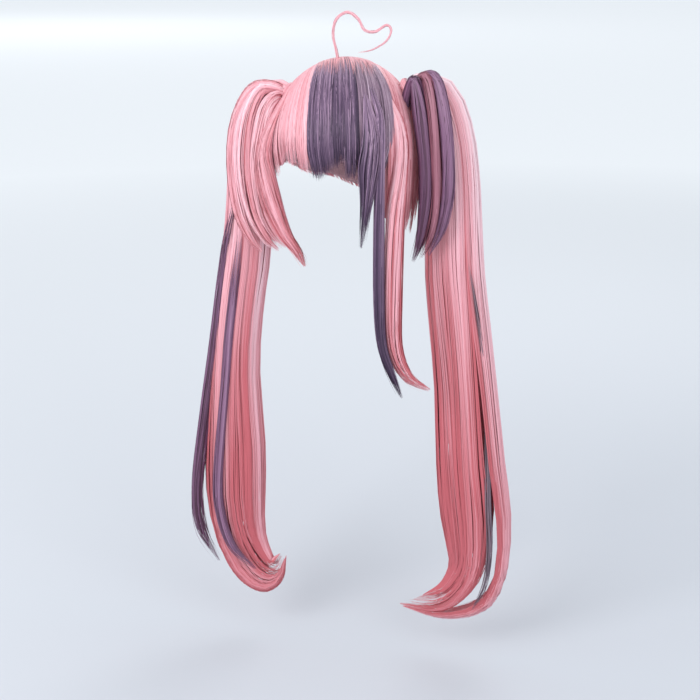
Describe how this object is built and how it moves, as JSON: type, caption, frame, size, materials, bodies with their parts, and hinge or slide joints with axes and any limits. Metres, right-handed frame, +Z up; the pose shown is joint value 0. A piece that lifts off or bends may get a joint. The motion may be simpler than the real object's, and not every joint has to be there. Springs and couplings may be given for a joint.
{
  "type": "cosplay wig",
  "caption": "Long two-tone wig on an open net cap, with a full fringe, face-framing locks, tails tied high at the sides and a springy heart-shaped strand on the crown.",
  "frame": {"origin": "inside of the cap at its crown, where it sits on the head", "axes": "+Z up, the face opening towards -Y, +X towards the right of someone who looks at the face"},
  "size_m": [0.4522, 0.2304, 0.8451],
  "materials": {
    "net": "soft open net with sewn rows",
    "pink_hair": "smooth synthetic fibre with a soft shine",
    "purple_hair": "smooth synthetic fibre with a soft shine",
    "lilac_hair": "smooth synthetic fibre with a soft shine",
    "grey_hair": "smooth synthetic fibre with a soft shine",
    "tie_band": "knitted elastic"
  },
  "bodies": {
    "root": {"cap": "net", "fringe_pink": "pink_hair", "fringe_purple": "purple_hair", "fringe_lilac": "lilac_hair", "side_pink": "pink_hair", "back_right": "pink_hair", "back_left": "pink_hair", "cheek_lock": "pink_hair", "jaw_lock": "purple_hair", "long_lock_purple": "purple_hair", "long_lock_pink": "pink_hair", "tie_left": "tie_band", "tie_right": "tie_band", "tail_left": "pink_hair", "tail_right": "pink_hair", "tail_left_layer": "pink_hair", "tail_left_outer_streak": "purple_hair", "tail_left_inner_streak": "purple_hair", "tail_right_layer_inner": "purple_hair", "tail_right_layer_middle": "pink_hair", "tail_right_layer_outer": "purple_hair", "tail_right_streak": "grey_hair", "heart_strand": "pink_hair"}
  },
  "joints": []
}
